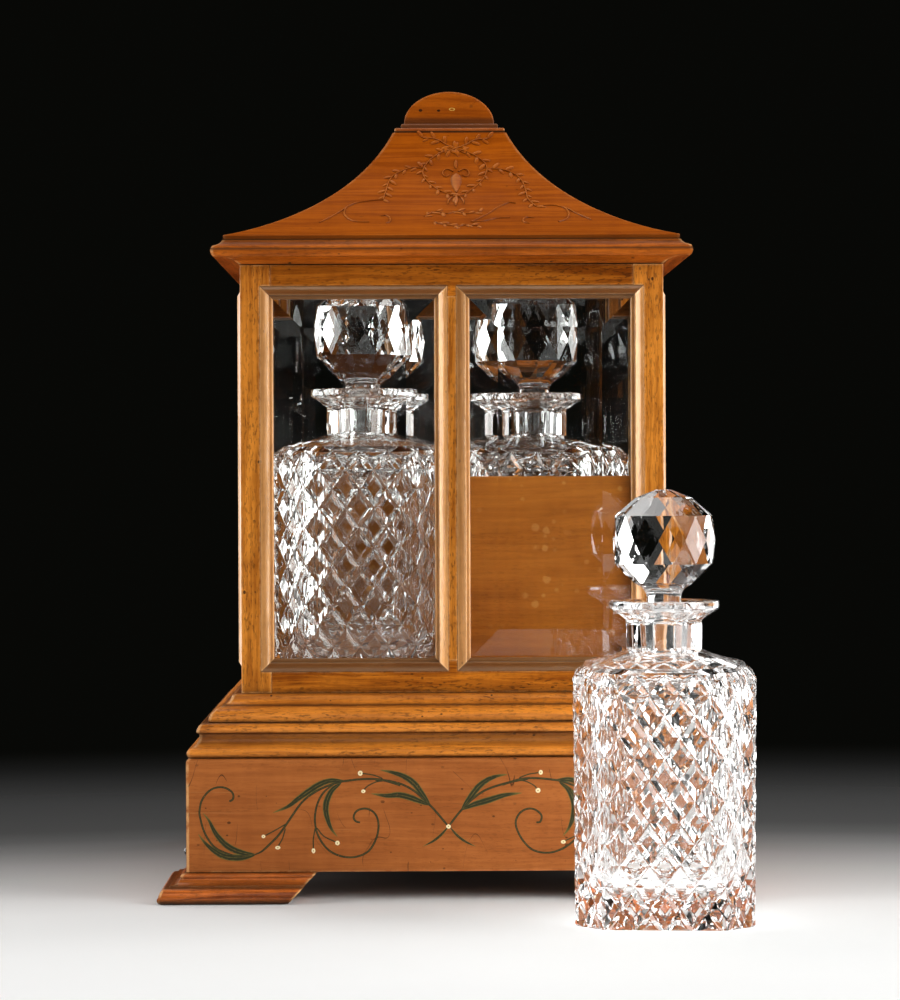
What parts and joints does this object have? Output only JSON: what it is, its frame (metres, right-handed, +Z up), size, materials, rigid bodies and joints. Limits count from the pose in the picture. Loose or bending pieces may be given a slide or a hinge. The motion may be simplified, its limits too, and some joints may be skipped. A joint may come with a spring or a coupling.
{
  "type": "tantalus",
  "caption": "Square glazed wooden case for cut-glass decanters, with a hinged pagoda lid, stepped mouldings, a painted plinth and bracket feet.",
  "frame": {"origin": "centre of the case's base, on the surface that the four feet stand on", "axes": "+Z up; the front of the case faces -Y; +X is to the right"},
  "size_m": [0.34, 0.4536, 0.4829],
  "materials": {
    "satinwood": "polished, open pores",
    "roof_satinwood": "polished, low relief",
    "painted_satinwood": "polished, painted scrolls",
    "base_mahogany": "polished, worn edges",
    "inner_mahogany": "satin",
    "pane_glass": "bevelled",
    "cut_glass": "cut and polished",
    "brass": "aged",
    "black_button": "gloss"
  },
  "bodies": {
    "case": {"base_deck": "inner_mahogany", "beads_back": "satinwood", "beads_front": "satinwood", "beads_left": "satinwood", "beads_right": "satinwood", "bottom_rail_back": "satinwood", "bottom_rail_front": "satinwood", "bottom_rail_left": "satinwood", "bottom_rail_right": "satinwood", "cap_moulding": "satinwood", "case_floor": "inner_mahogany", "corner_post_back_left": "satinwood", "corner_post_back_right": "satinwood", "corner_post_front_left": "satinwood", "corner_post_front_right": "satinwood", "divider_cross": "inner_mahogany", "divider_long": "inner_mahogany", "foot_back_left": "base_mahogany", "foot_back_right": "base_mahogany", "foot_front_left": "base_mahogany", "foot_front_right": "base_mahogany", "hinge_leaves_case": "brass", "hinge_pins": "brass", "hinge_screws_case": "brass", "mullion_back": "satinwood", "mullion_front": "satinwood", "mullion_left": "satinwood", "mullion_right": "satinwood", "panes_back": "pane_glass", "panes_front": "pane_glass", "panes_left": "pane_glass", "panes_right": "pane_glass", "plinth_back": "painted_satinwood", "plinth_bottom": "inner_mahogany", "plinth_front": "painted_satinwood", "plinth_left": "painted_satinwood", "plinth_right": "painted_satinwood", "step_moulding": "satinwood", "top_rail_back": "satinwood", "top_rail_front": "satinwood", "top_rail_left": "satinwood", "top_rail_right": "satinwood"},
    "lid": {"cornice": "roof_satinwood", "crest_moulding": "roof_satinwood", "crest_tablet": "roof_satinwood", "hinge_leaves_lid": "brass", "hinge_screws_lid": "brass", "roof_front": "roof_satinwood", "roof_right": "roof_satinwood", "roof_back": "roof_satinwood", "roof_left": "roof_satinwood"},
    "button": {"release_button": "black_button"},
    "decanter_front_left": {"decanter_front_left": "cut_glass"},
    "stopper_front_left": {"stopper_front_left": "cut_glass"},
    "decanter_back_left": {"decanter_back_left": "cut_glass"},
    "stopper_back_left": {"stopper_back_left": "cut_glass"},
    "decanter_back_right": {"decanter_back_right": "cut_glass"},
    "stopper_back_right": {"stopper_back_right": "cut_glass"},
    "decanter_taken_out": {"decanter_taken_out": "cut_glass"},
    "stopper_taken_out": {"stopper_taken_out": "cut_glass"}
  },
  "joints": [
    {"name": "lid_hinge", "type": "hinge", "parent": "case", "child": "lid", "pos_m": [0, 0.1266, 0.3677], "axis": [-1, 0, 0], "range_deg": [0, 100]},
    {"name": "button_press", "type": "slide", "parent": "case", "child": "button", "axis": [1, 0, 0], "range_m": [0, 0.0018], "stiffness_N_per_m": 150},
    {"name": "decanter_front_left_lift", "type": "slide", "parent": "case", "child": "decanter_front_left", "axis": [0, 0, 1], "range_m": [0, 0.01]},
    {"name": "stopper_front_left_draw", "type": "slide", "parent": "decanter_front_left", "child": "stopper_front_left", "axis": [0, 0, 1], "range_m": [0, 0.025]},
    {"name": "decanter_back_left_lift", "type": "slide", "parent": "case", "child": "decanter_back_left", "axis": [0, 0, 1], "range_m": [0, 0.01]},
    {"name": "stopper_back_left_draw", "type": "slide", "parent": "decanter_back_left", "child": "stopper_back_left", "axis": [0, 0, 1], "range_m": [0, 0.025]},
    {"name": "decanter_back_right_lift", "type": "slide", "parent": "case", "child": "decanter_back_right", "axis": [0, 0, 1], "range_m": [0, 0.01]},
    {"name": "stopper_back_right_draw", "type": "slide", "parent": "decanter_back_right", "child": "stopper_back_right", "axis": [0, 0, 1], "range_m": [0, 0.025]},
    {"name": "decanter_taken_out_lift", "type": "slide", "parent": "case", "child": "decanter_taken_out", "axis": [0, 0, 1], "range_m": [0, 0.15]},
    {"name": "stopper_taken_out_draw", "type": "slide", "parent": "decanter_taken_out", "child": "stopper_taken_out", "axis": [0, 0, 1], "range_m": [0, 0.04]}
  ]
}
